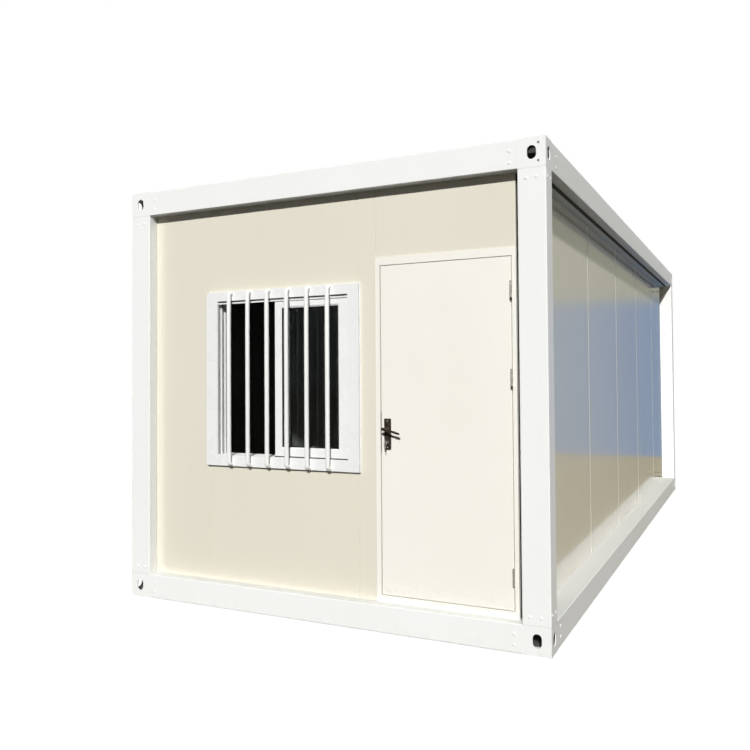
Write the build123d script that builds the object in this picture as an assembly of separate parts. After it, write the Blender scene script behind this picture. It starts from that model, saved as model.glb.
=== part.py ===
from build123d import *
import math
import os

os.makedirs("parts", exist_ok=True)

# Flat-pack container house: a bolted frame of folded galvanised steel, closed with sandwich panels.
# Millimetres, +Z up, front wall towards -Y, origin on the ground below the centre of the house.

# Whole house
length = 6055
width = 3000
height = 2800
seat = 0.3

# Corner posts and corner fittings
post_face = 163
post_depth = 120
post_lip = 22
steel = 3
bend = 3
fitting_plate = 6
oval_height = 76
oval_width = 52
oval_steps = 8
oval_from_edge = 80
oval_side_from_edge = 62

# Bottom frame
bottom_beam_height = 160
bottom_flange = 60
beam_lip = 18
joist_pitch = 480
joist_height = 100
joist_width = 50
floor_thickness = 18

# Top frame and roof
top_beam_height = 165
top_flange = 45
long_flange = 75
gutter_gap = 4
gutter_height = 70
purlin_width = 40
purlin_height = 50
purlin_pitch = 640
sheet = 1.0
rib_pitch = 210
rib_height = 24
rib_top = 30
rib_foot = 56
sheet_bearing = 45
ceiling_thickness = 12

# Walls
wall = 75
end_recess = 70
side_recess = 150
panel_width = 1150
panel_edge = 2
side_first_strip = 385
panel_beside_door = 125
filler_set_back = 30

# Window in the front wall
window_width = 1178
window_sill = 922
window_height = 1154
window_head_face = 62
window_sill_face = 72
window_left_face = 94
window_right_face = 78
window_proud = 20
window_depth = 124
window_wall_lap = 22
track_count = 3
track_first = 14
track_depth = 26
track_fin = 11
track_groove = 12
sash_depth = 24
sash_overlap = 96
meeting_stile = 53
lock_stile = 90
sash_top_rail = 74
sash_bottom_rail = 78
sash_lift = 5
bead_face = 9
bead_step = 5
glass = 5
bar_count = 6
bar_pitch = 152
bar_diameter = 28
bar_sides = 12
bar_gap = 10

# Door in the front wall, placed from the right-hand edge of the house
door_from_right = 226
door_width = 825
door_bottom = 205
door_height = 1965
door_thickness = 42
door_set_back = 62
hinge_side_gap = 5
lock_side_gap = 7.5
head_gap = 5
sill_gap = 5
jamb_left_face = 30
jamb_right_face = 24
head_face = 47
frame_proud = 6
stop_lap = 18
stop_depth = 20
stop_gap = 5

# Hinges
hinge_heights = (390, 1492, 1985)
hinge_length = 96
knuckle_diameter = 14
pin_diameter = 8
hinge_plate = 1.8
knuckle_gap = 0.5
hinge_in_front = 10
round_sides = 16

# Lock and lever handle
plate_width = 44
plate_height = 184
plate_thickness = 6
plate_from_edge = 44
handle_height = 1190
spindle = 8
spindle_clearance = 0.6
neck_diameter = 16
lever_reach = 52
lever_length = 106
lever_depth = 10
lever_hub = 11
lever_tip = 6
lever_droop = 12
cylinder_diameter = 17
cylinder_below = 78
cylinder_proud = 3
key_thickness = 2.2
key_bow = 12
key_reach = 14
edge_plate_width = 24
edge_plate_height = 236
edge_plate_thickness = 2

door_left = width - door_from_right - door_width
half_width = width / 2
half_length = length / 2
front = -half_length
left = -half_width
floor_level = bottom_beam_height + floor_thickness
head_level = height - top_beam_height


def save(shape, name):
    export_step(shape, "parts/" + name + ".step")


def block(x0, x1, y0, y1, z0, z1):
    """Rectangular block between two opposite corners."""
    return Pos((x0 + x1) / 2, (y0 + y1) / 2, (z0 + z1) / 2) * Box(x1 - x0, y1 - y0, z1 - z0)


def upright_bar(x, y, z0, z1, diameter):
    """Upright round bar drawn with flat sides, its corners on the true circle."""
    return extrude(Pos(x, y, z0) * RegularPolygon(diameter / 2, round_sides), z1 - z0)


def cross_bar(x, z, y0, y1, diameter):
    """Level round bar that runs from front to back, drawn with flat sides."""
    plane = Plane(origin=(x, y0, z), x_dir=(1, 0, 0), z_dir=(0, 1, 0))
    return extrude(plane * RegularPolygon(diameter / 2, round_sides), y1 - y0)


def folded_section(outer, thickness, radius):
    """Flat section of a folded sheet. The outer line is walked with the metal on its left."""
    count = len(outer)
    steps = []
    for start, stop in zip(outer, outer[1:]):
        run = math.dist(start, stop)
        steps.append(((stop[0] - start[0]) / run, (stop[1] - start[1]) / run))
    inner = []
    corners = []
    for index, point in enumerate(outer):
        before = steps[max(index - 1, 0)]
        after = steps[min(index, count - 2)]
        turn = before[0] * after[1] - before[1] * after[0]
        spread = 1 + before[0] * after[0] + before[1] * after[1]
        shift_x = -(before[1] + after[1]) / spread * thickness
        shift_y = (before[0] + after[0]) / spread * thickness
        inner.append((point[0] + shift_x, point[1] + shift_y))
        if 0 < index < count - 1:
            wide, tight = radius + thickness, radius
            corners.append((point, wide if turn > 0 else tight))
            corners.append((inner[index], tight if turn > 0 else wide))
    face = make_face(Polyline(*outer, *reversed(inner), close=True))
    for point, size in corners if radius else ():
        nearest = min(face.vertices(), key=lambda v: math.dist((v.X, v.Y), point))
        face = fillet(nearest, size)
    return face


def stand(section, low, high):
    """Section drawn in plan, carried straight up."""
    return extrude(Pos(0, 0, low) * section, high - low)


def four_corners(part):
    """One part made for the front left corner, turned into its four mirrored copies."""
    right = mirror(part, about=Plane.YZ)
    return {
        "front_left": part,
        "front_right": right,
        "back_left": mirror(part, about=Plane.XZ),
        "back_right": mirror(right, about=Plane.XZ),
    }


# Corner posts. The front flange and the side flange fold back to lips that hold the wall panels.
post_outline = [
    (left + post_face - post_lip, front + end_recess - seat),
    (left + post_face, front + end_recess - seat),
    (left + post_face, front),
    (left, front),
    (left, front + post_depth),
    (left + side_recess - seat, front + post_depth),
    (left + side_recess - seat, front + post_depth - post_lip),
]
post_section = folded_section(list(reversed(post_outline)), steel, bend)
post = stand(post_section, bottom_beam_height + seat, head_level - seat)
for corner, solid in four_corners(post).items():
    save(solid, "post_" + corner)


def oval(tall, wide):
    """Upright slot-shaped face, its round ends drawn in short straight steps."""
    radius = wide / 2
    rise = tall / 2 - radius
    points = []
    for step in range(oval_steps + 1):
        angle = math.pi * step / oval_steps
        points.append((radius * math.cos(angle), rise + radius * math.sin(angle)))
    points += [(-across, -up) for across, up in points]
    return make_face(Polyline(*points, close=True))


def fitting(low, high, end_level):
    """Welded corner box with oval lifting holes in its two outer sides and at the end level."""
    box = block(left, left + post_face, front, front + post_depth, low, high)
    hollow = block(
        left + fitting_plate, left + post_face - fitting_plate,
        front + fitting_plate, front + post_depth - fitting_plate,
        low + fitting_plate, high - fitting_plate,
    )
    upright_oval = oval(oval_height, oval_width)
    flat_oval = Rot(0, 0, 90) * upright_oval
    middle = (low + high) / 2
    x = left + oval_from_edge
    y = front + oval_side_from_edge
    through = 2 * fitting_plate
    front_hole = Pos(x, front, middle) * extrude(Plane.XZ * upright_oval, through, both=True)
    side_hole = Pos(left, y, middle) * extrude(Plane.YZ * upright_oval, through, both=True)
    end_hole = Pos(x, y, end_level) * extrude(flat_oval, through, both=True)
    return box - hollow - front_hole - side_hole - end_hole


bottom_fitting = fitting(0, bottom_beam_height, 0)
top_fitting = fitting(head_level, height, height)
save(Compound(children=list(four_corners(bottom_fitting).values())), "bottom_corner_fittings")
save(Compound(children=list(four_corners(top_fitting).values())), "top_corner_fittings")


def beam_along_x(section, start, stop):
    """Section drawn as (inward distance, height), carried along X behind the front face."""
    plane = Plane(origin=(start, front, 0), x_dir=(0, 1, 0), z_dir=(1, 0, 0))
    return extrude(plane * section, stop - start)


def beam_along_y(section, start, stop):
    """Section drawn as (inward distance, height), carried along Y behind the left face."""
    plane = Plane(origin=(left, stop, 0), x_dir=(1, 0, 0), z_dir=(0, -1, 0))
    return extrude(plane * section, stop - start)


# Bottom beams: an upright web, a wide top flange under the wall and a lipped bottom flange.
def bottom_section(flange):
    outline = [
        (flange, bottom_beam_height - beam_lip),
        (flange, bottom_beam_height),
        (0, bottom_beam_height),
        (0, 0),
        (bottom_flange, 0),
        (bottom_flange, beam_lip),
    ]
    return folded_section(outline, steel, bend)


# Top beams: an upright web with a lipped top flange and a bottom flange over the wall.
def top_section(flange):
    outline = [
        (top_flange, height - beam_lip),
        (top_flange, height),
        (0, height),
        (0, head_level),
        (flange, head_level),
        (flange, head_level + beam_lip),
    ]
    return folded_section(outline, steel, bend)


end_flange = end_recess + wall + seat
side_flange = side_recess + wall + seat
beam_x0 = left + post_face + seat
beam_y0 = front + post_depth + seat
for name, section, side_section in (
    ("bottom_beam_", bottom_section(end_flange), bottom_section(side_flange)),
    ("top_beam_", top_section(end_flange), top_section(long_flange)),
):
    end_beam = beam_along_x(section, beam_x0, -beam_x0)
    notch = block(
        beam_x0 - 1, left + side_flange + seat, beam_y0 - seat, front + end_flange + 1, -1, height + 1,
    )
    end_beam = end_beam - notch - mirror(notch, about=Plane.YZ)
    side_beam = beam_along_y(side_section, beam_y0, -beam_y0)
    save(end_beam, name + "front")
    save(mirror(end_beam, about=Plane.XZ), name + "back")
    save(side_beam, name + "left")
    save(mirror(side_beam, about=Plane.YZ), name + "right")

# Roof gutters: a folded trough behind each long beam, over the head of the side wall.
gutter_outer = long_flange + gutter_gap
gutter_outline = [
    (side_flange, head_level + gutter_height),
    (side_flange, head_level),
    (gutter_outer, head_level),
    (gutter_outer, head_level + gutter_height),
]
gutter_section = folded_section(list(reversed(gutter_outline)), steel, bend)
gutter = beam_along_y(gutter_section, beam_y0, -beam_y0)
save(Compound(children=[gutter, mirror(gutter, about=Plane.YZ)]), "roof_gutters")

# Floor: channel joists between the long beams and one board on top of them.
inner_x = half_width - side_flange
inner_y = half_length - end_flange
joist_section = folded_section(
    [
        (joist_width, -joist_height + beam_lip),
        (joist_width, -joist_height),
        (0, -joist_height),
        (0, 0),
        (joist_width, 0),
        (joist_width, -beam_lip),
    ][::-1],
    steel, 0,
)
joist_count = int((2 * inner_y - joist_width) // joist_pitch) + 1
joist_start = -(joist_count - 1) * joist_pitch / 2 - joist_width / 2
joists = []
for index in range(joist_count):
    plane = Plane(
        origin=(-inner_x + seat, joist_start + index * joist_pitch, bottom_beam_height),
        x_dir=(0, 1, 0), z_dir=(1, 0, 0),
    )
    joists.append(extrude(plane * joist_section, 2 * (inner_x - seat)))
save(Compound(children=joists), "floor_joists")
room_x = half_width - side_recess - wall
room_y = half_length - end_recess - wall
floor = block(
    -room_x + seat, room_x - seat, -room_y + seat, room_y - seat,
    bottom_beam_height, floor_level,
)
save(floor, "floor_board")

# Roof: a ceiling panel, cross purlins on top of it and a ribbed sheet sunk between the beams.
ceiling_x = half_width - side_flange - seat
ceiling = block(
    -ceiling_x, ceiling_x, -inner_y + seat, inner_y - seat,
    head_level, head_level + ceiling_thickness,
)
save(ceiling, "ceiling_panel")
purlin_level = head_level + ceiling_thickness
purlin_count = int((2 * inner_y - purlin_width) // purlin_pitch) + 1
purlins = []
for index in range(purlin_count):
    y = (index - (purlin_count - 1) / 2) * purlin_pitch
    tube = block(
        -ceiling_x, ceiling_x, y - purlin_width / 2, y + purlin_width / 2,
        purlin_level, purlin_level + purlin_height,
    )
    bore = block(
        -ceiling_x - 1, ceiling_x + 1,
        y - purlin_width / 2 + steel, y + purlin_width / 2 - steel,
        purlin_level + steel, purlin_level + purlin_height - steel,
    )
    purlins.append(tube - bore)
save(Compound(children=purlins), "roof_purlins")


def rib_profile(span, level):
    """Upper line of the roof sheet across its ribs, from one end of the house to the other."""
    count = int(span // rib_pitch)
    first = -(count - 1) / 2 * rib_pitch
    line = [(-span / 2, level)]
    for index in range(count):
        middle = first + index * rib_pitch
        line += [
            (middle - rib_foot / 2, level),
            (middle - rib_top / 2, level + rib_height),
            (middle + rib_top / 2, level + rib_height),
            (middle + rib_foot / 2, level),
        ]
    line.append((span / 2, level))
    return line


sheet_level = max(purlin_level + purlin_height, head_level + gutter_height) + sheet
sheet_span = 2 * (half_length - top_flange - steel)
sheet_x = ceiling_x + sheet_bearing
top_line = rib_profile(sheet_span, sheet_level)
under_line = [(y, z - sheet) for y, z in reversed(top_line)]
sheet_plane = Plane(origin=(-sheet_x, 0, 0), x_dir=(0, 1, 0), z_dir=(1, 0, 0))
roof_face = make_face(Polyline(*top_line, *under_line, close=True))
save(extrude(sheet_plane * roof_face, 2 * sheet_x), "roof_sheet")


# Wall panels: steel-faced slabs with a small chamfer down each visible outer edge.
def end_panel(x0, x1, z0, z1):
    """Front wall panel between two places measured from the left corner of the house."""
    outer = front + end_recess
    slab = block(left + x0, left + x1, outer, outer + wall, z0, z1)
    edges = slab.edges().filter_by(Axis.Z).sort_by(Axis.Y)[:2]
    return chamfer(edges, panel_edge)


def side_panel(y0, y1):
    """Left wall panel between two places along the house."""
    outer = left + side_recess
    slab = block(outer, outer + wall, y0, y1, wall_bottom, wall_top)
    edges = slab.edges().filter_by(Axis.Z).sort_by(Axis.X)[:2]
    return chamfer(edges, panel_edge)


def panel_joints(start, stop, first):
    """Places of the panel edges: a start strip, whole panels, and the rest at the far end."""
    whole = int((stop - start - first) // panel_width)
    return [start, *(start + first + index * panel_width for index in range(whole + 1)), stop]


wall_bottom = bottom_beam_height + seat
wall_top = head_level - seat
side_start = front + end_recess + wall + seat
side_edges = panel_joints(side_start, -side_start, side_first_strip)
side_panels = [side_panel(low + seat, high - seat) for low, high in zip(side_edges, side_edges[1:])]
save(Compound(children=side_panels), "left_wall_panels")
save(Compound(children=[mirror(panel, about=Plane.YZ) for panel in side_panels]), "right_wall_panels")

# Front wall: panels around the window, beside the door and over it, and a filler at the hinge jamb.
end_start = side_recess + seat
end_stop = width - end_start
frame_left = door_left - lock_side_gap - jamb_left_face
frame_right = door_left + door_width + hinge_side_gap + jamb_right_face
frame_top = door_bottom + door_height + head_gap + head_face
window_joint_right = frame_left - panel_beside_door
window_joint_left = window_joint_right - panel_width
window_left = window_joint_left - (window_width - panel_width) / 2
window_right = window_left + window_width
window_top = window_sill + window_height
for name, x0, x1, z0, z1 in (
    ("left", end_start, window_joint_left, wall_bottom, wall_top),
    ("below_window", window_joint_left, window_joint_right, wall_bottom, window_sill + window_wall_lap),
    ("above_window", window_joint_left, window_joint_right, window_top - window_wall_lap, wall_top),
    ("beside_door", window_joint_right, frame_left, wall_bottom, wall_top),
    ("over_door", frame_left, frame_right, frame_top + seat, wall_top),
):
    save(end_panel(x0 + seat, x1 - seat, z0, z1), "front_panel_" + name)
jamb_filler = block(
    left + frame_right + seat, left + end_stop,
    front + end_recess + filler_set_back, front + end_recess + wall,
    wall_bottom, wall_top,
)
save(jamb_filler, "door_side_filler")

# Back wall: one whole panel in the middle and a narrower one on each side.
back_first_strip = (end_stop - end_start - panel_width) / 2
back_edges = panel_joints(end_start, end_stop, back_first_strip)
back_panels = [
    mirror(end_panel(low + seat, high - seat, wall_bottom, wall_top), about=Plane.XZ)
    for low, high in zip(back_edges, back_edges[1:])
]
save(Compound(children=back_panels), "back_wall_panels")

# Sliding window: a frame with three grooved tracks and two sashes, the left one slid open to the right.
window_front = front + end_recess - window_proud
opening_left = left + window_left + window_left_face
opening_right = left + window_right - window_right_face
opening_low = window_sill + window_sill_face
opening_high = window_top - window_head_face
side_inset = (window_width - panel_width) / 2 + seat
height_inset = window_wall_lap + seat
window_frame = block(
    left + window_left, left + window_right,
    window_front, window_front + window_proud - seat, window_sill, window_top,
)
window_frame += block(
    left + window_left + side_inset, left + window_right - side_inset,
    window_front, window_front + window_depth, window_sill + height_inset, window_top - height_inset,
)
window_frame -= block(
    opening_left, opening_right, window_front - 1, window_front + window_depth + 1,
    opening_low, opening_high,
)
track_fronts = [window_front + track_first + index * (track_depth + track_fin) for index in range(track_count)]
for track in track_fronts:
    window_frame -= block(
        opening_left - track_groove, opening_right + track_groove, track, track + track_depth,
        opening_low - track_groove, opening_high + track_groove,
    )
save(window_frame, "window_frame")

sash_right = opening_right + track_groove - seat
sash_left = sash_right - (opening_right - opening_left + sash_overlap) / 2 - track_groove + seat
sash_low = opening_low - track_groove + seat
sash_high = opening_high + track_groove - sash_lift
sash_set_back = (track_depth - sash_depth) / 2
panes = []
for name, track, left_stile, right_stile in (
    ("window_sash_right", track_fronts[0], meeting_stile, lock_stile),
    ("window_sash_left", track_fronts[1], lock_stile, meeting_stile),
):
    sash_front = track + sash_set_back
    clear = (
        sash_left + left_stile, sash_right - right_stile,
        sash_low + sash_bottom_rail, sash_high - sash_top_rail,
    )
    sash = block(sash_left, sash_right, sash_front, sash_front + sash_depth, sash_low, sash_high)
    sash -= block(clear[0], clear[1], sash_front - 1, sash_front + sash_depth + 1, clear[2], clear[3])
    for low, high in (
        (sash_front - 1, sash_front + bead_step),
        (sash_front + sash_depth - bead_step, sash_front + sash_depth + 1),
    ):
        sash -= block(
            clear[0] - bead_face, clear[1] + bead_face, low, high,
            clear[2] - bead_face, clear[3] + bead_face,
        )
    save(sash, name)
    glass_front = sash_front + (sash_depth - glass) / 2
    panes.append(block(
        clear[0] + seat, clear[1] - seat, glass_front, glass_front + glass,
        clear[2] + seat, clear[3] - seat,
    ))
save(Compound(children=panes), "window_glass")

# Window bars: upright round bars, bent back at both ends on to the face of the window frame.
bar_radius = bar_diameter / 2
bar_y = window_front - bar_gap - bar_radius
bar_low = window_sill + bar_radius
bar_high = window_top - bar_radius
bars = []
for index in range(bar_count):
    x = left + (window_left + window_right) / 2 + (index - (bar_count - 1) / 2) * bar_pitch
    foot = window_front - seat
    route = Polyline((x, foot, bar_low), (x, bar_y, bar_low), (x, bar_y, bar_high), (x, foot, bar_high))
    section = Plane(origin=(x, foot, bar_low), z_dir=(0, -1, 0)) * RegularPolygon(bar_radius, bar_sides)
    bars.append(sweep(section, path=route, transition=Transition.RIGHT))
save(Compound(children=bars), "window_bars")

# Steel door frame with a rebate behind the leaf and a raised threshold.
leaf_front = front + door_set_back
leaf_back = leaf_front + door_thickness
frame_front = front + end_recess - frame_proud
frame_back = front + end_recess + wall
opening_x0 = left + door_left - lock_side_gap
opening_x1 = left + door_left + door_width + hinge_side_gap
opening_z0 = door_bottom - sill_gap
opening_z1 = door_bottom + door_height + head_gap
stop_front = leaf_back + stop_gap
door_frame = block(
    left + frame_left, left + frame_right, frame_front, frame_back,
    bottom_beam_height, frame_top,
)
door_frame -= block(
    opening_x0, opening_x1, frame_front - 1, frame_back + 1, opening_z0, opening_z1,
)
stops = block(
    opening_x0, opening_x1, stop_front, stop_front + stop_depth, opening_z0, opening_z1,
)
stops -= block(
    opening_x0 + stop_lap, opening_x1 - stop_lap, stop_front - 1, stop_front + stop_depth + 1,
    opening_z0 + stop_lap / 3, opening_z1 - stop_lap,
)
door_frame += stops
edge_plate_low = handle_height - edge_plate_height * 0.6
edge_plate_y = (leaf_front + leaf_back) / 2


def edge_plate(x, thickness):
    """Upright plate on the lock side, from x towards the hinges."""
    return block(
        x, x + thickness, edge_plate_y - edge_plate_width / 2, edge_plate_y + edge_plate_width / 2,
        edge_plate_low, edge_plate_low + edge_plate_height,
    )


strike = edge_plate(opening_x0 - edge_plate_thickness, edge_plate_thickness)
door_frame -= strike
save(door_frame, "door_frame")
latch_hole = block(
    opening_x0 - edge_plate_thickness - 1, opening_x0 + 1,
    edge_plate_y - edge_plate_width / 4, edge_plate_y + edge_plate_width / 4,
    handle_height - edge_plate_width / 2, handle_height + edge_plate_width / 2,
)
save(strike - latch_hole, "strike_plate")

# Door leaf: a folded steel skin over a core, bored for the handle spindle.
leaf_x0 = left + door_left
leaf_x1 = leaf_x0 + door_width
handle_x = leaf_x0 + plate_from_edge
leaf = block(leaf_x0, leaf_x1, leaf_front, leaf_back, door_bottom, door_bottom + door_height)
leaf = chamfer(leaf.edges().filter_by(Axis.Z), panel_edge)
spindle_hole = cross_bar(
    handle_x, handle_height, leaf_front - 1, leaf_back + 1,
    spindle * math.sqrt(2) + 2 * spindle_clearance,
)
leaf_edge_plate = edge_plate(leaf_x0, edge_plate_thickness)
save(leaf - spindle_hole - leaf_edge_plate, "door_leaf")

# Butt hinges: two outer knuckles with the pin on the jamb, one middle knuckle on the leaf.
hinge_x = (leaf_x1 + opening_x1) / 2
hinge_y = leaf_front - hinge_in_front
knuckle = (hinge_length - 2 * knuckle_gap) / 3
frame_hinges = []
leaf_hinges = []
plate_back = leaf_back - 6
for middle in hinge_heights:
    low = middle - hinge_length / 2
    high = middle + hinge_length / 2
    jamb_plate = block(opening_x1 - hinge_plate, opening_x1, hinge_y, plate_back, low, high)
    fixed = jamb_plate
    for z in (low, high - knuckle):
        fixed += upright_bar(hinge_x, hinge_y, z, z + knuckle, knuckle_diameter)
    fixed -= upright_bar(hinge_x, hinge_y, low + knuckle, high - knuckle, 2 * knuckle_diameter)
    frame_hinges.append(fixed + upright_bar(hinge_x, hinge_y, low, high, pin_diameter))
    moving = block(leaf_x1, leaf_x1 + hinge_plate, hinge_y, plate_back, low, high)
    moving += upright_bar(hinge_x, hinge_y, low + knuckle, high - knuckle, knuckle_diameter)
    moving -= upright_bar(hinge_x, hinge_y, low - 1, high + 1, pin_diameter + 2 * seat)
    for z in (low, high - knuckle):
        moving -= upright_bar(
            hinge_x, hinge_y, z - knuckle_gap, z + knuckle + knuckle_gap,
            knuckle_diameter + 2 * knuckle_gap,
        )
    leaf_hinges.append(moving)
save(Compound(children=frame_hinges), "hinges_on_frame")
save(Compound(children=leaf_hinges), "hinges_on_leaf")

# Lock: a long plate on each face of the leaf, a profile cylinder and a key left in it.
plate_low = handle_height - plate_height * 0.66
plates = [leaf_edge_plate]
for y0, y1 in (
    (leaf_front - plate_thickness, leaf_front),
    (leaf_back, leaf_back + plate_thickness),
):
    plate = block(
        handle_x - plate_width / 2, handle_x + plate_width / 2, y0, y1,
        plate_low, plate_low + plate_height,
    )
    plate = chamfer(plate.edges().filter_by(Axis.Y), panel_edge)
    plates.append(plate - cross_bar(
        handle_x, handle_height, y0 - 1, y1 + 1, neck_diameter + 2 * spindle_clearance,
    ))
save(Compound(children=plates), "lock_plates")

cylinder_z = handle_height - cylinder_below
lock_front = leaf_front - plate_thickness
key_front = lock_front - cylinder_proud
cylinder = cross_bar(handle_x, cylinder_z, key_front, lock_front, cylinder_diameter)
key_outline = RegularPolygon(key_bow, round_sides)
key_outline -= Pos(-key_bow / 2, 0) * RegularPolygon(key_bow / 4, round_sides)
key_outline += Pos(key_bow + key_reach / 2 - 2, 0) * Rectangle(key_reach, key_bow / 2)
key_plane = Plane(
    origin=(handle_x - key_thickness / 2, key_front - key_bow - key_reach + 4, cylinder_z),
    x_dir=(0, 1, 0), z_dir=(1, 0, 0),
)
key = extrude(key_plane * key_outline, key_thickness)
key -= block(
    handle_x - key_bow, handle_x + key_bow, key_front, key_front + 2 * key_bow,
    cylinder_z - key_bow, cylinder_z + key_bow,
)
save(cylinder + key, "lock_cylinder")


# Lever handle: one square spindle through the leaf with a lever on each side.
def lever(side, face):
    """Round neck and tapered, drooping grip on one side of the leaf; side is -1 outside, 1 inside."""
    near, far = sorted((face, face + side * lever_reach))
    neck = cross_bar(handle_x, handle_height, near, far, neck_diameter)
    outline = (
        Line((0, lever_hub), (lever_length - lever_tip, lever_tip))
        + ThreePointArc(
            (lever_length - lever_tip, lever_tip), (lever_length, 0), (lever_length - lever_tip, -lever_tip)
        )
        + Line((lever_length - lever_tip, -lever_tip), (0, -lever_hub))
        + ThreePointArc((0, -lever_hub), (-lever_hub, 0), (0, lever_hub))
    )
    grip = extrude(Plane.XZ * make_face(outline), lever_depth / 2, both=True)
    place = Pos(handle_x, face + side * lever_reach, handle_height) * Rot(0, lever_droop, 0)
    return neck + place * grip


shaft = Pos(handle_x, (leaf_front + leaf_back) / 2, handle_height) * Box(
    spindle, door_thickness, spindle,
)
save(lever(-1, leaf_front) + shaft + lever(1, leaf_back), "lever_handle")
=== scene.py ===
import math

import bmesh
import bpy
import numpy as np
from mathutils import Matrix, Vector


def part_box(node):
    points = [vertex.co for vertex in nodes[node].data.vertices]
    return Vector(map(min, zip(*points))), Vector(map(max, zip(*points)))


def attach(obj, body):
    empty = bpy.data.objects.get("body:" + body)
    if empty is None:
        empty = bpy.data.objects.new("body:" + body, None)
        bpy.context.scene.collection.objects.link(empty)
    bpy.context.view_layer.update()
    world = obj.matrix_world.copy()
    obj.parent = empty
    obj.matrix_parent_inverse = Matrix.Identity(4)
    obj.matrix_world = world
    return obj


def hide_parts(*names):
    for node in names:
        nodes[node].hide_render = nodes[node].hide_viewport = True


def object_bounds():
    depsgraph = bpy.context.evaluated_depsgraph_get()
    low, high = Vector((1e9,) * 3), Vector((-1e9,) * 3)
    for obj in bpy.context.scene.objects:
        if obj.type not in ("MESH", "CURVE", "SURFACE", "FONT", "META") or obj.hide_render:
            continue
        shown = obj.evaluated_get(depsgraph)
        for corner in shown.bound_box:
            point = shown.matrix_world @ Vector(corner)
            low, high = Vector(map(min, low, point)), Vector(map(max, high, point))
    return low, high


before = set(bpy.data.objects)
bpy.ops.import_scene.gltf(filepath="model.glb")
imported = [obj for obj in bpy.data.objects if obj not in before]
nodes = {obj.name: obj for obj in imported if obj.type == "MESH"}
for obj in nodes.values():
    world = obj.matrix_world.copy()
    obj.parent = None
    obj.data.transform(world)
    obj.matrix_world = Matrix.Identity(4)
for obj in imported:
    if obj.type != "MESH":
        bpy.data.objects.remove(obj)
cad_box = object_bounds()

# Camera: it stands at eye height before the right-hand front corner and looks along the front wall
# and the right-hand wall at once. Its optical centre lies a little off the middle of the picture.
picture_side = 750
camera_focus = 721.468
camera_centre = (446.485, 358.329)
camera_yaw, camera_pitch, camera_roll = 0.4105259, 0.0228471, -0.0089586
ahead = Vector((
    -math.sin(camera_yaw) * math.cos(camera_pitch),
    math.cos(camera_yaw) * math.cos(camera_pitch),
    math.sin(camera_pitch),
))
level_right = ahead.cross(Vector((0, 0, 1))).normalized()
level_up = level_right.cross(ahead)
right_hand = level_right * math.cos(camera_roll) + level_up * math.sin(camera_roll)
up_hand = level_up * math.cos(camera_roll) - level_right * math.sin(camera_roll)
camera = bpy.data.objects.new("camera", bpy.data.cameras.new("camera"))
bpy.context.scene.collection.objects.link(camera)
camera.matrix_world = Matrix.Translation((2.54185, -6.78653, 1.51068)) @ Matrix(
    (right_hand, up_hand, -ahead)
).transposed().to_4x4()
camera.data.sensor_width = 36
camera.data.lens = camera_focus / picture_side * 36
camera.data.shift_x = (picture_side / 2 - camera_centre[0]) / picture_side
camera.data.shift_y = (camera_centre[1] - picture_side / 2) / picture_side
camera.data.clip_end = 200
bpy.context.scene.camera = camera
bpy.context.scene.view_settings.view_transform = "Standard"


class Wire:
    """One output of a shader tree. Python's operators on it add Math nodes, and node() adds any other."""

    def __init__(self, tree, output=None):
        self.tree, self.output = tree, output

    def node(self, kind, settings=(), sockets=(), out=0):
        """Adds a node: its settings first, then the values or wires of its sockets."""
        made = self.tree.nodes.new(kind)
        for name, value in dict(settings).items():
            setattr(made, name, value)
        for name, value in dict(sockets).items():
            if isinstance(value, Wire):
                self.tree.links.new(value.output, made.inputs[name])
            else:
                made.inputs[name].default_value = value
        return Wire(self.tree, made.outputs[out])

    def math(self, operation, *values):
        return self.node("ShaderNodeMath", {"operation": operation}, dict(enumerate(values)))

    def __add__(self, other):
        return self.math("ADD", self, other)

    def __sub__(self, other):
        return self.math("SUBTRACT", self, other)

    def __rsub__(self, other):
        return self.math("SUBTRACT", other, self)

    def __mul__(self, other):
        return self.math("MULTIPLY", self, other)

    def __truediv__(self, other):
        return self.math("DIVIDE", self, other)

    def __lt__(self, other):
        return self.math("LESS_THAN", self, other)

    def __gt__(self, other):
        return self.math("GREATER_THAN", self, other)

    __radd__, __rmul__ = __add__, __mul__

    def size(self):
        return self.math("ABSOLUTE", self)

    def fraction(self):
        return self.math("FRACT", self)

    def between(self, low, high, start=0.0, stop=1.0):
        """Runs smoothly from start to stop while this value goes from low to high."""
        return self.node(
            "ShaderNodeMapRange", {"interpolation_type": "SMOOTHSTEP"},
            {"Value": self, "From Min": low, "From Max": high, "To Min": start, "To Max": stop},
        )

    def mix(self, first, second):
        """Colour that goes from first to second as this value goes from 0 to 1."""
        colours = [c if isinstance(c, Wire) else (*c, 1) for c in (first, second)]
        return self.node(
            "ShaderNodeMix", {"data_type": "RGBA"}, {0: self, 6: colours[0], 7: colours[1]}, out=2,
        )

    def noise(self, scale, detail=2.0, stretch=(1, 1, 1)):
        """Cloudy value about 0.5 on these coordinates, which are stretched first."""
        place = self.node("ShaderNodeVectorMath", {"operation": "MULTIPLY"}, {0: self, 1: stretch})
        return place.node("ShaderNodeTexNoise", {}, {"Vector": place, "Scale": scale, "Detail": detail})

    def axes(self):
        """The three coordinates, one wire each."""
        return [self.node("ShaderNodeSeparateXYZ", {}, {"Vector": self}, out=k) for k in range(3)]

    def bump(self, height, depth):
        """Surface normal of this height, which is 0 to 1 for a relief of depth metres."""
        return self.node("ShaderNodeBump", {}, {"Height": height, "Distance": depth, "Strength": 1.0})


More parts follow.
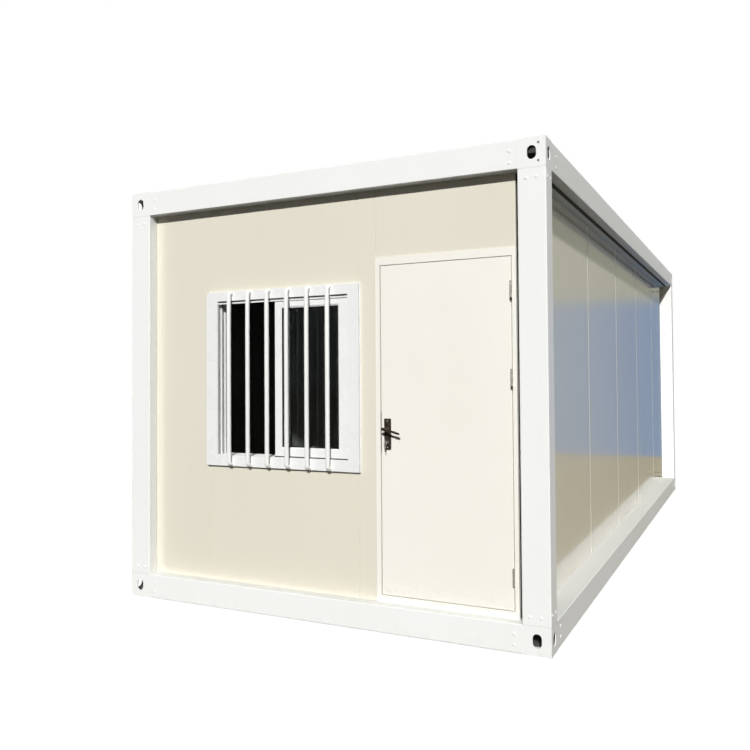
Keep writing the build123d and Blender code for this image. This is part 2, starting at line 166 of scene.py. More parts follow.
# Light and floor: a low sun in front of the house and to its right, wide soft fills on the other three
# walls, which nothing mirrors, and a weak even sky. The floor and the sky are white to the eye. Glossy
# surfaces and glass show a hazy blue distance, with pale cloud above it and dry ground below it.
sky_level = 0.10
far_blue, cloud_grey = (0.140, 0.235, 0.41), (0.33, 0.335, 0.265)
dry_ground, near_ground = (0.34, 0.297, 0.196), (0.07, 0.066, 0.055)
shaded_sky = (0.085, 0.09, 0.095)
world = bpy.data.worlds.new("sky")
bpy.context.scene.world = world
world.use_nodes = True
world_tree = world.node_tree
sky = Wire(world_tree)
seen = sky.node("ShaderNodeLightPath", out="Is Camera Ray")
sky_in_gloss = sky.node("ShaderNodeLightPath", out="Is Glossy Ray")
sky_through_glass = sky.node("ShaderNodeLightPath", out="Is Transmission Ray")
sky_y, sky_z = sky.node("ShaderNodeTexCoord", out="Generated").axes()[1:]
haze = sky_z.between(0.085, 0.108).mix(far_blue, cloud_grey)
gloss_sky = sky_y.between(-0.2, 0.3).mix(shaded_sky, haze)
lit_sky = (sky_in_gloss + sky_through_glass).mix((sky_level, sky_level, sky_level * 1.02), gloss_sky)
whole_sky = seen.mix(lit_sky, (1.0, 1.0, 1.0))
world_tree.links.new(whole_sky.output, world_tree.nodes["Background"].inputs["Color"])

for light_name, strength, softness, towards in (
    ("key_light", 3.95, 0.05, (-0.40, 1.0, -0.66)),
    ("right_fill", 0.70, 1.00, (-1.0, -0.42, -0.14)),
    ("left_fill", 1.25, 1.00, (1.0, -0.42, -0.14)),
    ("back_fill", 1.25, 1.00, (0.1, -1.0, -0.12)),
):
    light = bpy.data.objects.new(light_name, bpy.data.lights.new(light_name, "SUN"))
    bpy.context.scene.collection.objects.link(light)
    light.rotation_mode = "QUATERNION"
    light.rotation_quaternion = Vector(towards).to_track_quat("-Z", "Y")
    light.data.energy = strength
    light.data.angle = softness
    light.visible_glossy = light_name == "key_light"

floor_reach, floor_glow_share = 60.0, 0.78
floor_mesh = bpy.data.meshes.new("floor")
floor_mesh.from_pydata(
    [(x * floor_reach, y * floor_reach, -0.001) for x, y in ((-1, -1), (1, -1), (1, 1), (-1, 1))],
    [], [(0, 1, 2, 3)],
)
floor = bpy.data.objects.new("floor", floor_mesh)
bpy.context.scene.collection.objects.link(floor)
floor_white = bpy.data.materials.new("floor_white")
floor_white.use_nodes = True
floor_tree = floor_white.node_tree
ground = Wire(floor_tree)
looked_at = ground.node("ShaderNodeLightPath", out="Is Camera Ray")
ground_in_gloss = ground.node("ShaderNodeLightPath", out="Is Glossy Ray")
ground_through_glass = ground.node("ShaderNodeLightPath", out="Is Transmission Ray")
mirrored = ground_in_gloss + ground_through_glass
ground_y = ground.node("ShaderNodeTexCoord", out="Object").axes()[1]
ground_beside = ground_y.between(6.4, 7.0).mix(dry_ground, far_blue)
ground_seen = ground_y.between(-4.2, -2.8).mix(near_ground, ground_beside)
pale = ground.node("ShaderNodeBsdfDiffuse", {}, {"Color": (0.9, 0.9, 0.9, 1)})
dull = ground.node("ShaderNodeBsdfDiffuse", {}, {"Color": (0.055, 0.055, 0.05, 1)})
glow = ground.node("ShaderNodeEmission", {}, {"Color": (1, 1, 1, 1), "Strength": 1.1})
gleam = ground.node("ShaderNodeEmission", {}, {"Color": ground_seen, "Strength": 1.0})
to_the_eye = ground.node("ShaderNodeMixShader", {}, {0: floor_glow_share, 1: pale, 2: glow})
to_the_walls = ground.node("ShaderNodeMixShader", {}, {0: mirrored, 1: dull, 2: gleam})
floor_look = ground.node("ShaderNodeMixShader", {}, {0: looked_at, 1: to_the_walls, 2: to_the_eye})
floor_tree.links.new(floor_look.output, floor_tree.nodes["Material Output"].inputs["Surface"])
floor.data.materials.append(floor_white)


# Corner fittings: eight welded steel boxes with oval lifting holes, sprayed with the frame in one
# off-white satin paint. The paint has a faint orange peel, and dust settles on it near the ground. The
# insides of the boxes, seen through the holes, are coloured near black as painted shade.
def painted(name, look):
    """New material. look takes the Object coordinates and gives the values of the shader's sockets."""
    made = bpy.data.materials.new(name)
    made.use_nodes = True
    shader = made.node_tree.nodes["Principled BSDF"]
    place = Wire(made.node_tree).node("ShaderNodeTexCoord", out="Object")
    for socket, value in look(place).items():
        if isinstance(value, Wire):
            made.node_tree.links.new(value.output, shader.inputs[socket])
        else:
            shader.inputs[socket].default_value = value
    return made


def dress(names, made):
    """Gives CAD nodes their material."""
    for name in names:
        nodes[name].data.materials.clear()
        nodes[name].data.materials.append(made)


post_bottom, post_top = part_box("post_front_left")[0].z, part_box("post_front_left")[1].z
half_width, half_length, box_top = cad_box[1]
fitting_plate, fitting_width, fitting_depth = 0.0065, 0.158, 0.115


def frame_paint_and_shade_look(place):
    x, y, z = place.axes()
    clouds = place.noise(1.6, 3.0, (1, 1, 0.35))
    streaks = place.noise(14.0, 2.0, (1, 1, 0.05))
    seam = ((z - post_bottom).size() < 0.0020) + ((z - post_top).size() < 0.0020)
    dust = z.between(0.12, 0.0) * place.noise(22.0, 3.0).between(0.45, 0.85)
    clean = clouds.between(0.25, 0.8).mix((0.865, 0.868, 0.845), (0.885, 0.886, 0.865))
    rained = (streaks.between(0.56, 0.88) * 0.14).mix(clean, (0.76, 0.75, 0.71))
    dusted = (dust * 0.16).mix(rained, (0.60, 0.57, 0.50))
    # Painted shade: the inside faces of the fitting boxes are coloured near black.
    inner = (x.size() < half_width - fitting_plate) * (y.size() < half_length - fitting_plate)
    in_low_box = (z - post_bottom / 2).size() < post_bottom / 2 - fitting_plate
    in_high_box = (z - (post_top + box_top) / 2).size() < (box_top - post_top) / 2 - fitting_plate
    at_corner = (x.size() > half_width - fitting_width) * (y.size() > half_length - fitting_depth)
    fitting_inside_shade = inner * (in_low_box + in_high_box) * at_corner
    peel = place.noise(420.0, 1.0)
    dent = place.noise(3.0, 1.0, (1, 1, 0.5))
    return {
        "Base Color": fitting_inside_shade.mix((seam * 0.28).mix(dusted, (0.42, 0.41, 0.39)), (0.055, 0.055, 0.05)),
        "Roughness": clouds.between(0.2, 0.8, 0.30, 0.42),
        "Normal": place.bump(peel * 0.12 + dent * 0.88, 0.0009),
    }


frame_paint = painted("frame_paint", frame_paint_and_shade_look)
dress(("bottom_corner_fittings", "top_corner_fittings"), frame_paint)


# Posts and beams: cold-formed galvanised sheet with folded lips, painted with the corner fittings. They
# are bolted at each end, so every post and beam shows two painted bolt heads a side near its corner.
# The side wall shows no mirror image of the far post, so that post is left out of glossy reflections.
dress(
    [name for name in nodes if name.startswith(("post_", "top_beam_", "bottom_beam_"))],
    frame_paint,
)
nodes["post_back_right"].visible_glossy = False


def woven(name, grids, body, made, around=True, along=False):
    """One mesh of many like grids of points, indexed [copy, row, column, xyz]. Each cell is one quad,
    and a row or column grid that closes on itself joins its last line to its first."""
    copies, rows, columns, _ = grids.shape
    index = np.arange(copies * rows * columns).reshape(copies, rows, columns)
    beside_it = np.roll(index, -1, axis=2)
    after_it = np.roll(index, -1, axis=1)
    across = np.roll(beside_it, -1, axis=1)
    quads = np.stack((index, beside_it, across, after_it), axis=-1)
    quads = quads[:, :None if along else -1, :None if around else -1].reshape(-1, 4)
    mesh = bpy.data.meshes.new(name)
    mesh.from_pydata(grids.reshape(-1, 3).tolist(), [], quads.tolist())
    clean = bmesh.new()
    clean.from_mesh(mesh)
    bmesh.ops.remove_doubles(clean, verts=clean.verts, dist=1e-6)
    bmesh.ops.dissolve_degenerate(clean, edges=clean.edges, dist=1e-6)
    bmesh.ops.recalc_face_normals(clean, faces=clean.faces)
    clean.to_mesh(mesh)
    clean.free()
    mesh.polygons.foreach_set("use_smooth", [True] * len(mesh.polygons))
    mesh.set_sharp_from_angle(angle=math.radians(35))
    piece = bpy.data.objects.new(name, mesh)
    bpy.context.scene.collection.objects.link(piece)
    piece.data.materials.append(made)
    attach(piece, body)
    return piece


def turned(centres, axis, profile, sides):
    """Solids of revolution: each (radius, height) row of the profile goes round the axis at each centre.
    A point is centre + height * axis + radius * (cos * across + sin * beyond)."""
    axis = np.asarray(axis, float)
    across = np.roll(np.abs(axis), 1)
    beyond = np.cross(axis, across)
    angle = np.arange(sides) * 2 * np.pi / sides
    circle = np.cos(angle)[:, None] * across + np.sin(angle)[:, None] * beyond
    radius, height = np.asarray(profile, float).T
    one = height[:, None, None] * axis + radius[:, None, None] * circle
    return np.asarray(centres, float)[:, None, None, :] + one


def prisms(profiles, axis, start, stop):
    """Straight strips: each profile, one row of points, is carried along axis number 0, 1 or 2 from start
    to stop, and a fan to its middle closes both ends."""
    rim = np.asarray(profiles, float)
    middle = np.broadcast_to(rim.mean(axis=1, keepdims=True), rim.shape)
    rows = np.stack((middle, rim, rim, middle), axis=1)
    rows[:, :2, :, axis] = start
    rows[:, 2:, :, axis] = stop
    return rows


def corners(points):
    """Points given from the middle of the house, copied to all four corners."""
    signs = np.array([(-1, -1, 1), (1, -1, 1), (-1, 1, 1), (1, 1, 1)], float)
    return (np.asarray(points, float)[None] * signs[:, None]).reshape(-1, 3)


bolt_head = [(0, 0.0031), (0.0038, 0.0030), (0.0066, 0.0022), (0.0075, 0.0012), (0.0105, 0.0010),
             (0.0112, 0.0004), (0.0112, -0.0010), (0, -0.0010)]
end_bolts = [
    (1.292, half_length, 2.739), (1.292, half_length, 2.673), (1.290, half_length, 0.102),
    (1.290, half_length, 0.044), (1.386, half_length, 2.581), (1.446, half_length, 2.581),
    (1.382, half_length, 0.203), (1.443, half_length, 0.203),
]
side_bolts = [
    (half_width, half_length - 0.218, 2.739), (half_width, half_length - 0.218, 2.676),
    (half_width, half_length - 0.190, 0.113), (half_width, half_length - 0.190, 0.054),
    (half_width, half_length - 0.036, 2.584), (half_width, half_length - 0.090, 2.584),
    (half_width, half_length - 0.032, 0.217), (half_width, half_length - 0.092, 0.217),
]
bolt_grids = []
for points, direction in ((end_bolts, 1), (side_bolts, 0)):
    copied = corners(points)
    for sign in (-1, 1):
        axis = [0.0, 0.0, 0.0]
        axis[direction] = sign
        facing = copied[np.sign(copied[:, direction]) == sign]
        bolt_grids.append(turned(facing, axis, bolt_head, 16))
woven("frame_bolts", np.concatenate(bolt_grids), "house", frame_paint)

# Dark set screws: two socket screws of black steel hold the inner plate of the top corner fitting beside
# the door. Their heads lie almost flush, above and below the lifting hole.
socket_screw = [(0, -0.0004), (0.0028, -0.0004), (0.0030, 0.0009), (0.0052, 0.0013), (0.0064, 0.0009),
                (0.0066, -0.001), (0, -0.001)]
dark_screws = turned(
    [(1.459, -half_length, 2.767), (1.458, -half_length, 2.668)], (0, -1, 0), socket_screw, 16,
)


def black_steel_look(place):
    worn = place.noise(300.0, 2.0)
    return {
        "Base Color": worn.between(0.3, 0.7).mix((0.018, 0.017, 0.016), (0.04, 0.038, 0.035)),
        "Roughness": worn.between(0.2, 0.8, 0.42, 0.6),
        "Metallic": 0.6,
    }


black_steel = painted("black_steel", black_steel_look)
woven("corner_set_screws", dark_screws, "house", black_steel)


# Floor: galvanised channels run across under a sealed board of pressed wood, which is laid in long
# sheets. The zinc shows its crystals as faint flakes.
def zinc_look(place):
    flake = place.node("ShaderNodeTexVoronoi", {}, {"Vector": place, "Scale": 95.0}, out="Color")
    tone = flake.axes()[0]
    cloud = place.noise(3.5, 3.0)
    return {
        "Base Color": (tone * 0.5 + cloud * 0.5).mix((0.47, 0.49, 0.50), (0.66, 0.68, 0.69)),
        "Roughness": (tone * 0.4 + cloud * 0.6).between(0.1, 0.9, 0.34, 0.54),
        "Metallic": 0.82,
        "Normal": place.bump(place.noise(60.0, 2.0), 0.0004),
    }


zinc = painted("galvanised", zinc_look)
dress(("floor_joists",), zinc)


def floor_board_look(place):
    grain = place.noise(9.0, 5.0, (6.0, 0.45, 1.0))
    knots = place.noise(2.0, 2.0, (1.5, 0.7, 1.0))
    boards_along = place.axes()[1] * 0.82 + 40.0
    joint = boards_along.fraction() < 0.0025
    wood = (grain * 0.7 + knots * 0.3).mix((0.20, 0.15, 0.105), (0.40, 0.32, 0.24))
    return {
        "Base Color": (joint * 0.8).mix(wood, (0.06, 0.05, 0.04)),
        "Roughness": grain.between(0.3, 0.7, 0.42, 0.58),
        "Normal": place.bump(grain, 0.0006),
    }


dress(("floor_board",), painted("floor_board", floor_board_look))

# Roof: gutters of folded sheet, square tubes and a ribbed sheet on top, all zinc coated. The ceiling panel
# under them is thin coated sheet with narrow grooves, white from below.
dress(("roof_gutters", "roof_purlins", "roof_sheet"), zinc)


def ceiling_look(place):
    cloud = place.noise(2.5, 2.0)
    ribs_across = place.axes()[0] * 5.0 + 20.0
    groove = ribs_across.fraction() < 0.03
    return {
        "Base Color": cloud.mix((0.47, 0.47, 0.455), (0.53, 0.53, 0.515)),
        "Roughness": cloud.between(0.2, 0.8, 0.34, 0.46),
        "Normal": place.bump(1.0 - groove, 0.0008),
    }


dress(("ceiling_panel",), painted("ceiling_coat", ceiling_look))

# Roof screws: zinc coated screws with hexagon heads and washers. They hold the sheet down on the tubes
# under it, through every other rib.
rib_pitch, screw_rows, screw_margin = 0.210, 5, 0.16
sheet_low, sheet_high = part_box("roof_sheet")
rib_count = int((sheet_high.y - sheet_low.y) // rib_pitch)
rib_lines = (np.arange(rib_count) - (rib_count - 1) / 2) * rib_pitch
screw_x = np.linspace(sheet_low.x + screw_margin, sheet_high.x - screw_margin, screw_rows)
screw_places = np.stack(np.meshgrid(screw_x, rib_lines[::2], [sheet_high.z]), axis=-1).reshape(-1, 3)
washer_profile = [(0, 0.0062), (0.0062, 0.0060), (0.0066, 0.0052), (0.0066, 0.0024), (0.0086, 0.0022),
                  (0.0092, 0.0012), (0.0092, -0.0010), (0, -0.0010)]
woven("roof_screws", turned(screw_places, (0, 0, 1), washer_profile, 6), "house", zinc)


# Roof joint strips: a black strip runs under the joint between each long top beam and its gutter, from
# one corner fitting to the other, and darkens that joint line.
# This near black rubber also serves as painted shade, in the jamb strip and the window brushes.
def rubber_and_painted_shade_look(place):
    tone = place.noise(120.0, 2.0)
    return {
        "Base Color": tone.mix((0.018, 0.018, 0.018), (0.034, 0.034, 0.032)),
        "Roughness": tone.between(0.2, 0.8, 0.60, 0.80),
    }


rubber_and_painted_shade = painted("rubber_and_painted_shade", rubber_and_painted_shade_look)
beam_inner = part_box("top_beam_left")[1].x
gutter_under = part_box("roof_gutters")[0].z
joint_strip_end = half_length - 0.121
joint_strip_section = [(-0.014, 0.001), (-0.014, -0.003), (-0.011, -0.005), (0.011, -0.005), (0.014, -0.003),
                (0.014, 0.001)]
both_joint_strips = [
    [(side * (beam_inner + 0.002) + x, 0.0, gutter_under + z) for x, z in joint_strip_section]
    for side in (-1, 1)
]
woven(
    "roof_joint_strips", prisms(both_joint_strips, 1, -joint_strip_end, joint_strip_end),
    "house", rubber_and_painted_shade,
)


# Wall panels: two glossy steel skins on a stiff core, cream outside and grey-white inside. The inner skins
# are coloured a darker grey than that grey-white, as painted shade for the inside of the room. The skins
# are never quite flat, so they bend what they mirror in long upright waves, and the joints catch the
# light.
first_joint, joint_pitch, joint_half_width = 0.530 - half_length, 1.150, 0.010


def panel_look(place):
    x, y, z = place.axes()
    inner_skin_painted_shade = (x.size() < 1.31) * (y.size() < 2.92)
    clouds = place.noise(0.9, 3.0, (1, 1, 0.5))
    streaks = place.noise(11.0, 2.0, (1, 1, 0.04))
    outer = clouds.between(0.25, 0.8).mix((0.775, 0.735, 0.615), (0.80, 0.76, 0.64))
    rained = (streaks.between(0.55, 0.88) * 0.12).mix(outer, (0.70, 0.66, 0.56))
    dust = z.between(0.36, 0.16) * place.noise(16.0, 3.0).between(0.3, 0.8)
    dusted = (dust * 0.10).mix(rained, (0.62, 0.58, 0.50))
    waves = place.noise(3.2, 1.0, (1, 1, 0.10))
    grain = place.noise(260.0, 1.0)
    panels_along = (y - first_joint) / joint_pitch + 10.5
    joint = (panels_along.fraction() - 0.5).size() < joint_half_width / joint_pitch
    seam = joint * (x.size() > half_width - 0.20)
    return {
        # Inner skins: a darker grey, partly their own colour and partly painted shade of the room.
        "Base Color": inner_skin_painted_shade.mix(dusted, (0.36, 0.36, 0.345)),
        "Roughness": clouds.between(0.2, 0.8, 0.13, 0.19) + seam * 0.5,
        "Normal": place.bump(waves * 0.94 + grain * 0.06, 0.0012),
        "Coat Weight": 1.0 - seam,
        "Coat Roughness": 0.08,
        "Coat IOR": 1.6,
    }


panel_coat = painted("panel_coat", panel_look)
dress(
    [name for name in nodes if name.startswith("front_panel") or name.endswith("wall_panels")]
    + ["door_side_filler"],
    panel_coat,
)

# Jamb shade strip: a narrow black strip lies on the filler panel along its joint with the door frame, over
# the whole height of the wall. It is painted shade: it stands for the shadow of the post in that gap. Its
# two front edges are cut off at a slant.
filler_low, filler_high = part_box("door_side_filler")
shade_strip_width, shade_strip_slant = 0.0100, 0.0015
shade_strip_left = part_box("door_frame")[1].x + 0.0005
shade_strip_right = shade_strip_left + shade_strip_width
shade_strip_back, shade_strip_front = filler_low.y + 0.0005, filler_low.y - 0.0130
shade_strip_profile = [
    (shade_strip_left, shade_strip_back, 0.0), (shade_strip_left, shade_strip_front + shade_strip_slant, 0.0),
    (shade_strip_left + shade_strip_slant, shade_strip_front, 0.0), (shade_strip_right - shade_strip_slant, shade_strip_front, 0.0),
    (shade_strip_right, shade_strip_front + shade_strip_slant, 0.0), (shade_strip_right, shade_strip_back, 0.0),
]
woven(
    "jamb_shade_strip", prisms([shade_strip_profile], 2, filler_low.z + 0.001, filler_high.z - 0.001),
    "house", rubber_and_painted_shade,
)


# Window frame and sashes: white extruded plastic, smooth and a little glossy. The frame has three tracks
# and laps over the wall, and the left-hand sash is slid behind the other one.
def window_plastic_look(place):
    clouds = place.noise(5.0, 3.0)
    grime = place.noise(40.0, 3.0)
    return {
        "Base Color": (grime.between(0.55, 0.9) * 0.25).mix(
            clouds.mix((0.80, 0.805, 0.79), (0.84, 0.84, 0.825)), (0.66, 0.64, 0.59)),
        "Roughness": clouds.between(0.2, 0.8, 0.22, 0.34),
        "Normal": place.bump(place.noise(30.0, 1.0), 0.0003),
    }


window_plastic = painted("window_plastic", window_plastic_look)
dress(("window_frame", "window_sash_right", "window_sash_left"), window_plastic)


def bent_ring(low, high, profile):
    """Closed rectangular ring in the plane of the wall: each profile point (outward, y) is carried round
    the corners low and high, (x, z) each, and turns them with a mitre."""
    outward, depth = np.asarray(profile, float).T
    signs = np.array([(-1, -1), (1, -1), (1, 1), (-1, 1)], float)
    corner = np.where(signs < 0, np.asarray(low, float), np.asarray(high, float))
    flat = corner[:, None, :] + signs[:, None, :] * outward[None, :, None]
    y = np.broadcast_to(depth, flat.shape[:2])
    return np.stack((flat[..., 0], y, flat[..., 1]), axis=-1)[None]


def round_bead(radius, y, steps=8):
    """Bead profile: a circle of that radius about the point (0, y)."""
    angle = np.arange(steps) * 2 * np.pi / steps
    return np.stack((radius * np.cos(angle), y + radius * np.sin(angle)), axis=-1)


# Glazing seals: soft dark rubber strips, pressed in round each pane on its outer and its inner face, that
# hold it in its sash.
meeting_stile, lock_stile, top_rail, bottom_rail = 0.053, 0.090, 0.074, 0.078
pane_seal_radius, pane_seal_offset = 0.0032, 0.0052
pane_seals = []
for sash_name, left_stile, right_stile in (
    ("window_sash_right", meeting_stile, lock_stile), ("window_sash_left", lock_stile, meeting_stile),
):
    sash_low, sash_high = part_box(sash_name)
    middle = (sash_low.y + sash_high.y) / 2
    for side in (-1, 1):
        pane_seals.append(bent_ring(
            (sash_low.x + left_stile, sash_low.z + bottom_rail),
            (sash_high.x - right_stile, sash_high.z - top_rail),
            round_bead(pane_seal_radius, middle + side * pane_seal_offset),
        ))
woven("window_seals", np.concatenate(pane_seals), "house", rubber_and_painted_shade, along=True)


# Panes: single sheets of clear float glass, faintly green at this thickness. A little dust lies on them
# and dulls what they mirror.
def glass_look(place):
    dust = place.noise(9.0, 4.0)
    return {
        "Base Color": dust.mix((0.86, 0.90, 0.88), (0.80, 0.84, 0.82)),
        "Roughness": dust.between(0.3, 0.8, 0.015, 0.06),
        "Transmission Weight": 1.0,
        "IOR": 1.45,
    }


dress(("window_glass",), painted("window_glass", glass_look))

# Sealant: a thin bead of white sealant, drawn along all four sides after the window is set in, closes the
# gap between its frame and the wall.
wall_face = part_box("front_panel_left")[0].y
window_low, window_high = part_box("window_frame")
sealant_radius = 0.0042
woven(
    "window_sealant",
    bent_ring(
        (window_low.x, window_low.z), (window_high.x, window_high.z),
        round_bead(sealant_radius, wall_face - 0.001),
    ),
    "house", window_plastic, along=True,
)

# Head lip and brush seals: a white plastic lip hangs in the head of the window frame behind a dark brush,
# and a second brush runs along the sill below the right-hand sash. Both brushes are pushed into slots.
# They are partly real seals and partly painted shade: their black darkens the shadow lines under the head
# and along the sill.
head_face, sill_face, left_face, right_face = 0.062, 0.072, 0.094, 0.078
brush_and_shade_radius = 0.0036
light_x0, light_x1 = window_low.x + left_face, window_high.x - right_face
light_z0, light_z1 = window_low.z + sill_face, window_high.z - head_face
lip_outline = [(0.0085, 0.004), (0.0085, -0.019), (0.0100, -0.0205), (0.0125, -0.0205),
               (0.0135, -0.019), (0.0135, 0.004)]
lip_profile = [(light_x0, window_low.y + y, light_z1 + z) for y, z in lip_outline]
woven(
    "window_head_lip", prisms([lip_profile], 0, light_x0, light_x1),
    "house", window_plastic,
)
# Both brushes are drawn near black, which also paints the shade lines under the head and along the sill.
brush_and_shade_lines = []
for start_x, y, z in (
    (light_x0, 0.0045, light_z1 - 0.0032),
    (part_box("window_sash_right")[0].x, 0.0105, light_z0 + 0.0030),
):
    ring = round_bead(brush_and_shade_radius, window_low.y + y)
    brush_and_shade_lines.append(prisms([[(0.0, deep, z + up) for up, deep in ring]], 0, start_x, light_x1))
woven("window_brush_seals_and_shade", np.concatenate(brush_and_shade_lines), "house", rubber_and_painted_shade)


# Window bars: six upright round bars of painted steel, bent back at both ends and welded to small feet
# on the face of the window frame.
def bar_paint_look(place):
    clouds = place.noise(6.0, 3.0, (1, 1, 0.4))
    chips = place.noise(90.0, 4.0)
    return {
        "Base Color": (chips.between(0.72, 0.80) * 0.7).mix(
            clouds.mix((0.83, 0.83, 0.80), (0.88, 0.88, 0.855)), (0.45, 0.42, 0.38)),
        "Roughness": clouds.between(0.2, 0.8, 0.30, 0.42),
        "Normal": place.bump(place.noise(150.0, 1.0), 0.0003),
    }


bar_paint = painted("bar_paint", bar_paint_look)
bar_low, bar_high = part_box("window_bars")
bar_radius, bar_count, bar_sides = 0.014, 6, 20
bar_places = np.linspace(bar_low.x + bar_radius, bar_high.x - bar_radius, bar_count)
bar_y = bar_low.y + bar_radius
bar_foot = window_low.y - 0.0002
bend_radius = 0.018


def bent_bar(x):
    """Round bar: a circle of bar_radius carried from the lower foot forward, round an arc of
    bend_radius, straight up, round the like arc and back to the upper foot."""
    turn = np.linspace(0, np.pi / 2, 7)
    low_z, high_z = bar_low.z + bar_radius, bar_high.z - bar_radius
    arc_y, arc_z = bend_radius * (1 - np.sin(turn)), bend_radius * (1 - np.cos(turn))
    y = np.concatenate(([bar_foot], bar_y + arc_y, (bar_y + arc_y)[::-1], [bar_foot]))
    z = np.concatenate(([low_z], low_z + arc_z, (high_z - arc_z)[::-1], [high_z]))
    way_y = np.concatenate(([-1], -np.cos(turn), np.cos(turn)[::-1], [1]))
    way_z = np.concatenate(([0], np.sin(turn), np.sin(turn)[::-1], [0]))
    angle = np.arange(bar_sides) * 2 * np.pi / bar_sides
    side, front = bar_radius * np.cos(angle), bar_radius * np.sin(angle)
    grid = np.stack((
        x + np.broadcast_to(side, (len(y), bar_sides)),
        y[:, None] - way_z[:, None] * front,
        z[:, None] + way_y[:, None] * front,
    ), axis=-1)
    ends = [np.broadcast_to([x, y[k], z[k]], (1, bar_sides, 3)) for k in (0, -1)]
    return np.concatenate((ends[0], grid, ends[1]))


bars = woven(
    "round_bars", np.stack([bent_bar(x) for x in bar_places]), "house", bar_paint,
)
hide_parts("window_bars")


# Door frame and leaf: the frame is folded steel with a rebate and a raised threshold, and the leaf is two
# pressed steel skins on a core. Both are painted the same warm white, which is worn low down.
def door_paint_look(place):
    clouds = place.noise(1.4, 3.0, (1, 1, 0.6))
    hands = place.noise(5.0, 4.0)
    worn = place.axes()[2].between(0.34, 0.20) * place.noise(24.0, 4.0).between(0.45, 0.8)
    base = clouds.between(0.25, 0.8).mix((0.855, 0.83, 0.755), (0.885, 0.86, 0.79))
    handled = (hands.between(0.55, 0.9) * 0.10).mix(base, (0.66, 0.62, 0.54))
    return {
        "Base Color": (worn * 0.25).mix(handled, (0.58, 0.54, 0.46)),
        "Roughness": clouds.between(0.2, 0.8, 0.30, 0.40),
        "Normal": place.bump(place.noise(2.4, 1.0) * 0.9 + place.noise(420.0, 1.0) * 0.1, 0.0012),
    }


door_paint = painted("door_paint", door_paint_look)
dress(("door_frame", "door_leaf"), door_paint)

# Door seal: a hollow strip of black rubber, glued in the rebate of the frame on all four sides. The closed
# leaf almost touches it.
leaf_low, leaf_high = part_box("door_leaf")
stop_face = leaf_high.y + 0.005
seal_inset, door_seal_radius = 0.004, 0.0035
woven(
    "door_seal",
    bent_ring(
        (leaf_low.x + seal_inset, leaf_low.z + seal_inset),
        (leaf_high.x - seal_inset, leaf_high.z - seal_inset),
        round_bead(door_seal_radius, stop_face - 0.0002),
    ),
    "house", rubber_and_painted_shade, along=True,
)


# Lock parts: the long plates and the lever are cast metal, lacquered dark bronze and rubbed brighter in
# places. The cylinder with its key and the strike plate in the frame are bare brushed steel.
def bronze_look(place):
    rub = place.noise(45.0, 3.0)
    return {
        "Base Color": rub.between(0.45, 0.75).mix((0.085, 0.065, 0.05), (0.20, 0.16, 0.125)),
        "Roughness": rub.between(0.2, 0.8, 0.26, 0.40),
        "Metallic": 0.75,
        "Normal": place.bump(place.noise(500.0, 1.0), 0.0001),
    }


bronze = painted("dark_bronze", bronze_look)
dress(("lock_plates",), bronze)


def steel_look(place):
    brushed = place.noise(60.0, 2.0, (1, 1, 12))
    return {
        "Base Color": brushed.mix((0.56, 0.55, 0.52), (0.72, 0.71, 0.68)),
        "Roughness": brushed.between(0.2, 0.8, 0.24, 0.38),
        "Metallic": 0.9,
    }


lock_steel = painted("lock_metal", steel_look)
dress(("lock_cylinder", "strike_plate"), lock_steel)

# Plate screws: two bright pan-head screws hold each lock plate on the leaf, one near its upper and one
# near its lower end.
handle_x, handle_z = leaf_low.x + 0.044, 1.190
plate_length, plate_thickness, screw_inset = 0.184, 0.006, 0.012
plate_low, plate_high = handle_z - plate_length * 0.66, handle_z + plate_length * 0.34
screw_head = [(0, 0.0004), (0.0012, 0.0004), (0.0014, 0.0017), (0.0026, 0.0017), (0.0036, 0.0010),
              (0.0038, -0.0008), (0, -0.0008)]
plate_screws = [
    turned(
        [(handle_x, y, z) for z in (plate_low + screw_inset, plate_high - screw_inset)],
        (0, side, 0), screw_head, 14,
    )
    for side, y in ((-1, leaf_low.y - plate_thickness), (1, leaf_high.y + plate_thickness))
]
woven("plate_screws", np.concatenate(plate_screws), "door", lock_steel)


# Key ring: a ring of steel wire hangs in the bow of the key that is in the lock, and carries a second
# flat key of the same steel.
def torus(centre, axis, wide, thin, sides):
    """Wire ring: a circle of radius thin is turned about the axis at the distance wide."""
    angle = np.arange(10) * 2 * np.pi / 10
    wire = np.stack((wide + thin * np.cos(angle), thin * np.sin(angle)), axis=-1)
    return turned([centre], axis, wire, sides)


ring_radius, wire_radius, bow_radius = 0.0095, 0.0010, 0.0085
bow_hole = Vector((handle_x, leaf_low.y - 0.037, handle_z - 0.078))
ring_centre = bow_hole - Vector((0.0, 0.0, ring_radius))
woven(
    "key_ring", torus(ring_centre, (0, 1, 0), ring_radius, wire_radius, 28),
    "door", lock_steel, along=True,
)
bow = np.linspace(-0.36 * np.pi, 1.36 * np.pi, 18)
key_outline = [(bow_radius * math.cos(a), bow_radius * math.sin(a)) for a in bow]
key_outline += [(-0.0026, -0.0095), (-0.0026, -0.0280), (-0.0012, -0.0300), (0.0014, -0.0300),
                (0.0026, -0.0262), (0.0014, -0.0240), (0.0026, -0.0212), (0.0016, -0.0190),
                (0.0026, -0.0095)]
spare_key = [(ring_centre.x + x * 0.8, 0.0, ring_centre.z - 0.0165 + z) for x, z in key_outline]
woven(
    "spare_key", prisms([spare_key], 1, leaf_low.y - 0.0380, leaf_low.y - 0.0360),
    "door", lock_steel,
)


# Lever handle: on each side of the leaf a round neck stands on a collar and carries a flat drooping lever
# with a short tail behind the neck. Lever and neck are one casting, lacquered with the plates.
lever_tail, lever_length, lever_stand_off = 0.023, 0.127, 0.050
droop, droop_bend = 0.21, 0.35


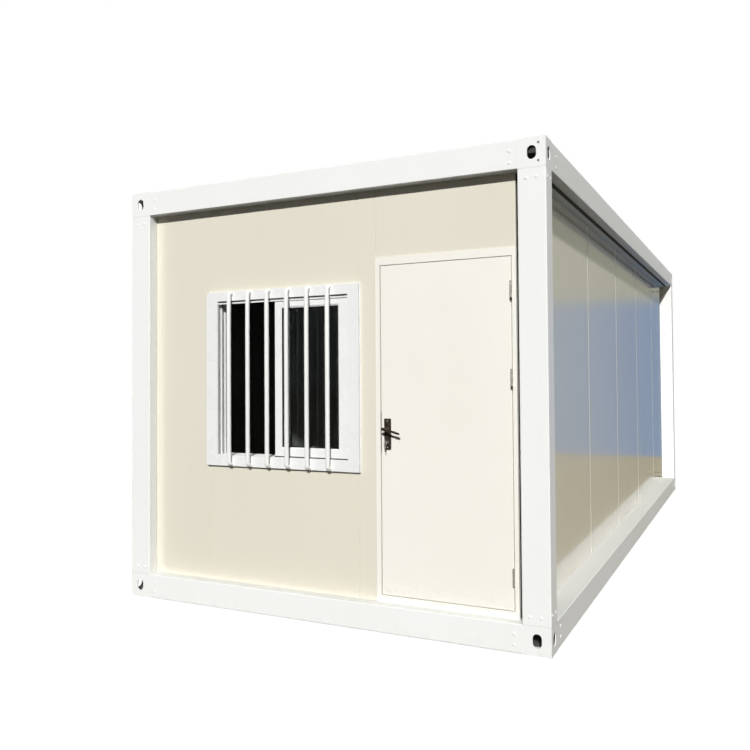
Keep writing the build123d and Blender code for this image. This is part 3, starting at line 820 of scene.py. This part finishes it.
def lever_arm(side, face):
    """Flat bar with an oval section. Its middle line drops as droop * s + droop_bend * s squared along
    the length s, and its half height and half depth shrink to nothing round both ends."""
    share = np.linspace(0.0, 1.0, 34)
    along = -lever_tail + lever_length * share
    end_round = np.sqrt(np.clip(1.0 - (2.0 * share - 1.0) ** 14, 0.0, 1.0))
    swell = np.exp(-(along / 0.016) ** 2)
    half_high = (0.0060 + 0.0042 * swell + 0.0010 * share) * end_round
    half_deep = (0.0036 + 0.0030 * swell) * end_round
    angle = np.arange(22) * 2 * np.pi / 22
    round_y = np.sign(np.cos(angle)) * np.abs(np.cos(angle)) ** 0.75
    round_z = np.sign(np.sin(angle)) * np.abs(np.sin(angle)) ** 0.75
    drop = -droop * along - droop_bend * along * np.abs(along)
    return np.stack((
        handle_x + along[:, None] + droop * half_high[:, None] * round_z,
        face + side * lever_stand_off + half_deep[:, None] * round_y,
        handle_z + drop[:, None] + half_high[:, None] * round_z,
    ), axis=-1)


neck_profile = [(0, -0.001), (0.0145, -0.001), (0.0148, 0.0030), (0.0138, 0.0046), (0.0105, 0.0056),
                (0.0088, 0.0080), (0.0080, 0.0140), (0.0080, 0.0360), (0.0092, 0.0430),
                (0.0086, 0.0465), (0, 0.0470)]
handed = ((-1, leaf_low.y), (1, leaf_high.y))
neck_grids = [
    turned([(handle_x, face + side * plate_thickness, handle_z)], (0, side, 0), neck_profile, 28)
    for side, face in handed
]
woven("lever_necks", np.concatenate(neck_grids), "handle", bronze)
arms = woven(
    "lever_arms", np.stack([lever_arm(side, face) for side, face in handed]),
    "handle", bronze,
)
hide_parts("lever_handle")


# Hinges: three steel butt hinges, screwed to the frame and the leaf, painted over with the door and
# rubbed back to the metal by use.
def hinge_look(place):
    rubbed = place.noise(70.0, 3.0)
    return {
        "Base Color": rubbed.between(0.3, 0.7).mix((0.40, 0.38, 0.34), (0.58, 0.56, 0.51)),
        "Roughness": rubbed.between(0.2, 0.8, 0.32, 0.5),
        "Metallic": 0.55,
    }


dress(("hinges_on_frame", "hinges_on_leaf"), painted("hinge_steel", hinge_look))

# Hinge pin caps: a black cap is pressed on the lower end of the pin of the two upper hinges. It stays on
# the frame's side when the leaf turns.
pin_x, pin_y = leaf_high.x + 0.0025, leaf_low.y - 0.010
hinge_middles, half_hinge = (1.985, 1.492), 0.048
cap_profile = [(0, 0.0010), (0.0062, 0.0010), (0.0066, -0.0010), (0.0064, -0.0100), (0.0040, -0.0130),
               (0, -0.0135)]
caps = turned(
    [(pin_x, pin_y, middle - half_hinge) for middle in hinge_middles], (0, 0, 1), cap_profile, 18,
)
woven("hinge_pin_caps", caps, "house", black_steel)
